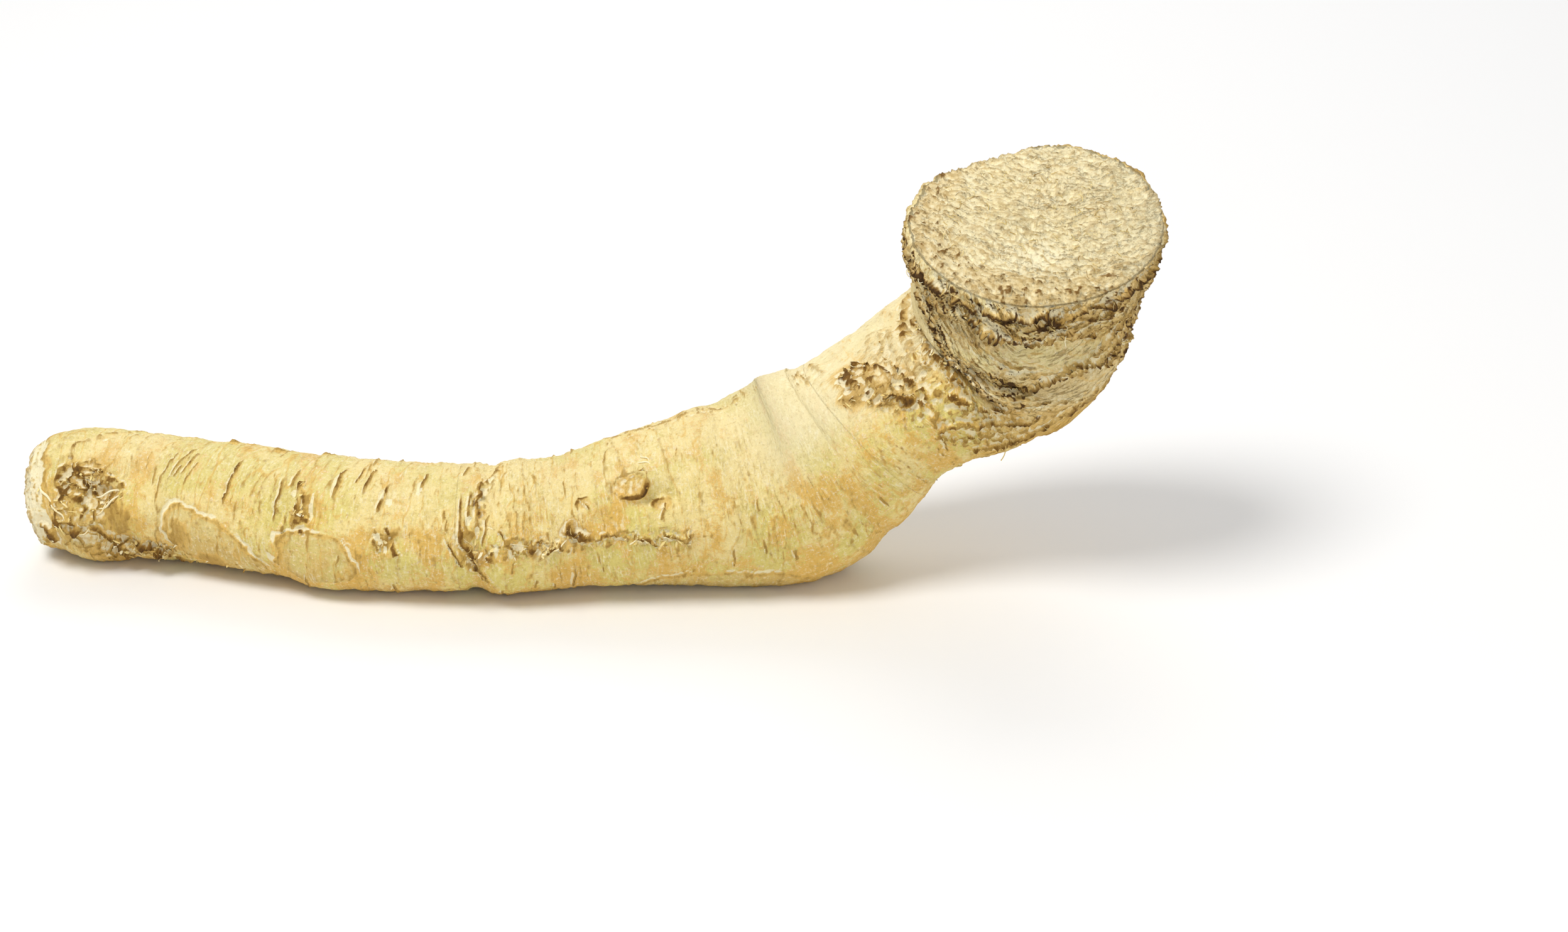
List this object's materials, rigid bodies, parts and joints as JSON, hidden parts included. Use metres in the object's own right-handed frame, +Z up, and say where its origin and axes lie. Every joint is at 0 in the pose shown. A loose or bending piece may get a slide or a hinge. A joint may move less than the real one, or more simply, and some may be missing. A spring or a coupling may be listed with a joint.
{
  "type": "horseradish root",
  "caption": "Thick fleshy root lying on its side: a long body swells into a belly and bends up through a neck to a broad cut crown.",
  "frame": {"origin": "on the surface it lies on, under the middle of the root's bounding box", "axes": "+X towards the cut crown, +Y to the back, +Z up"},
  "size_m": [0.3057, 0.0715, 0.1155],
  "materials": {
    "root_skin": "dry, matt, fibrous bark-like skin, pale cream to tan"
  },
  "bodies": {
    "root": {"root": "root_skin"}
  },
  "joints": []
}
